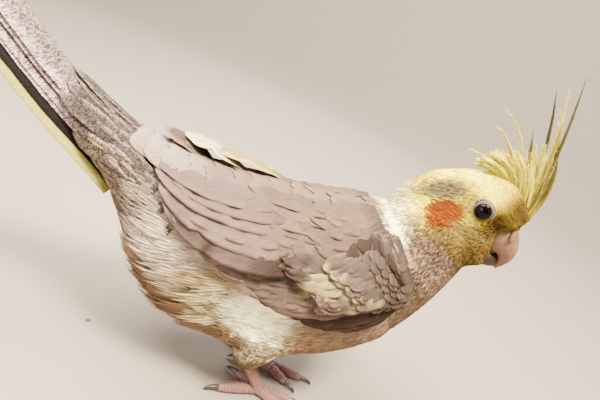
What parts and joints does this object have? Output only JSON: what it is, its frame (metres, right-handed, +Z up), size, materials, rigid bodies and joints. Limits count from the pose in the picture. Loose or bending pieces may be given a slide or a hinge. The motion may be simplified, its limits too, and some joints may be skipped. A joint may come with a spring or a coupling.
{
  "type": "cockatiel",
  "caption": "Standing cockatiel with raised crest and tail, folded wings and its head turned a little to its right, as a still life-size model.",
  "frame": {"origin": "on the floor, under the middle of the whole bird's box", "axes": "+X the way the body faces, +Y the bird's left side, +Z up"},
  "size_m": [0.2644, 0.0668, 0.1627],
  "materials": {
    "body_feathers": "soft matt feathers, cream to fawn",
    "wing_feathers": "smooth matt vanes, warm grey",
    "tail_feathers": "smooth vanes, grey finely barred with cream, yellow outer pair",
    "head_feathers": "soft matt feathers, yellow with an orange cheek",
    "horn": "satin horn",
    "bare_skin": "matt pink scaled skin",
    "claw": "satin horn",
    "eye": "wet gloss"
  },
  "bodies": {
    "root": {"torso": "body_feathers", "neck": "body_feathers", "head": "head_feathers", "eye_left": "eye", "eye_right": "eye", "beak_upper": "horn", "beak_lower": "horn", "cere": "bare_skin", "tail": "tail_feathers", "wing_left": "wing_feathers", "wing_right": "wing_feathers", "thigh_left": "body_feathers", "thigh_right": "body_feathers", "foot_left": "bare_skin", "foot_right": "bare_skin", "claw_left_1": "claw", "claw_left_2": "claw", "claw_left_3": "claw", "claw_left_4": "claw", "claw_right_1": "claw", "claw_right_2": "claw", "claw_right_3": "claw", "claw_right_4": "claw"}
  },
  "joints": []
}
